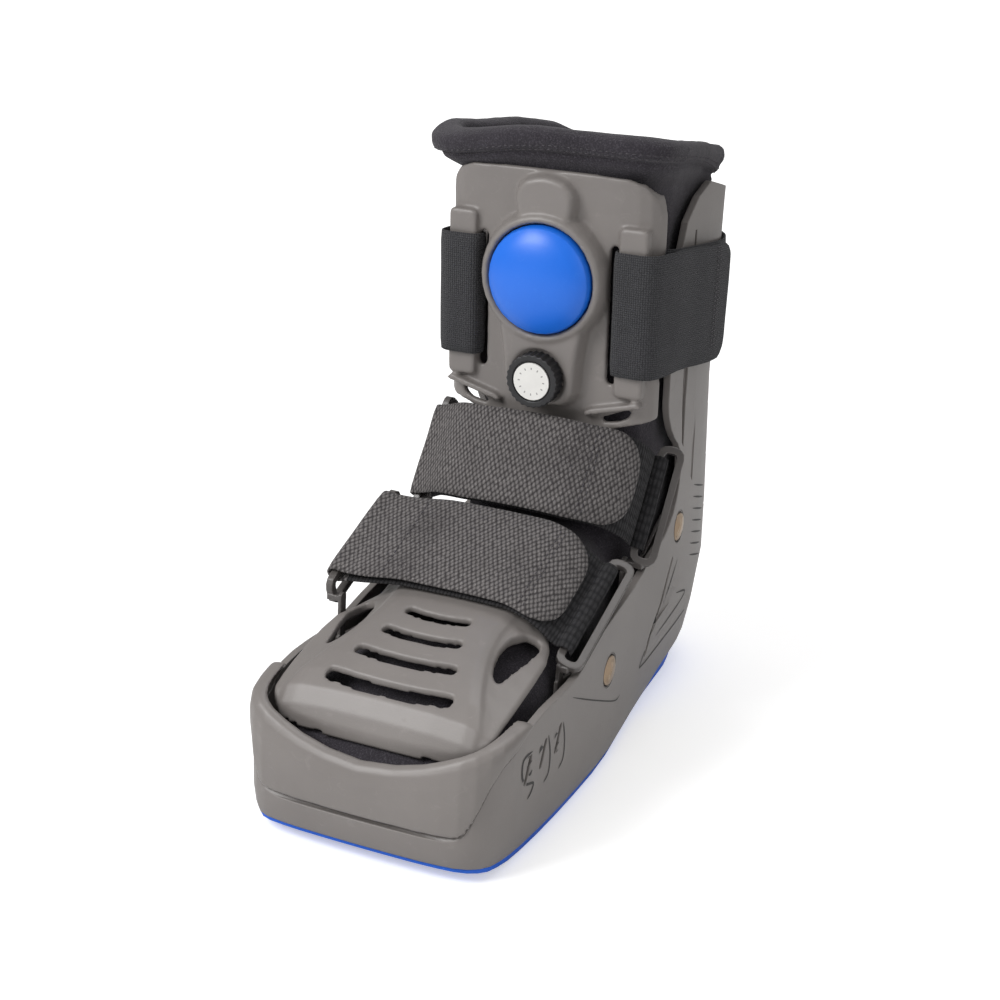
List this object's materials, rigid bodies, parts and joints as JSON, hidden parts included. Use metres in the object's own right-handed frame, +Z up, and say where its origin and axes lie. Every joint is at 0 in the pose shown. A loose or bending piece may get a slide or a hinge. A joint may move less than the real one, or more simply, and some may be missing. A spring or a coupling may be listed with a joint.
{
  "type": "walking boot",
  "caption": "Short medical walking boot: moulded shell, padded liner, foot and shin panels, air pump with release valve, wrap-round straps and rocker sole.",
  "frame": {"origin": "centre of the bounding box in X and Y, at the ground under the sole", "axes": "+Z up the leg, -Y toward the toes, +X toward the side where the straps end"},
  "size_m": [0.1102, 0.2886, 0.2556],
  "materials": {
    "shell_plastic": "fine matt moulding texture, warm grey",
    "sole_rubber": "matt blue rubber",
    "bulb_rubber": "satin blue rubber",
    "liner_fabric": "brushed loop fabric over foam",
    "strap_webbing": "napped strap with fine woven back",
    "knob_plastic": "satin black",
    "label_plastic": "satin white disc",
    "bolt_metal": "zinc plated with a brassy tint"
  },
  "bodies": {
    "boot": {"rear_shell": "shell_plastic", "outsole": "sole_rubber", "toe_bumper": "shell_plastic", "foot_panel": "shell_plastic", "shin_panel": "shell_plastic", "pump_bulb": "bulb_rubber", "liner": "liner_fabric", "liner_binding": "liner_fabric", "shin_strap": "strap_webbing", "ankle_strap": "strap_webbing", "foot_strap": "strap_webbing", "ring_foot_right": "shell_plastic", "ring_foot_left": "shell_plastic", "ring_ankle_right": "shell_plastic", "ring_ankle_left": "shell_plastic", "bolt_foot_right": "bolt_metal", "bolt_foot_left": "bolt_metal", "bolt_ankle_right": "bolt_metal", "bolt_ankle_left": "bolt_metal"},
    "valve_dial": {"valve_knob": "knob_plastic", "valve_label": "label_plastic"}
  },
  "joints": [
    {"name": "valve_turn", "type": "hinge", "parent": "boot", "child": "valve_dial", "pos_m": [0, -0.00044, 0.15512], "axis": [0, -0.9968, -0.0802], "range_deg": [0, 90]}
  ]
}
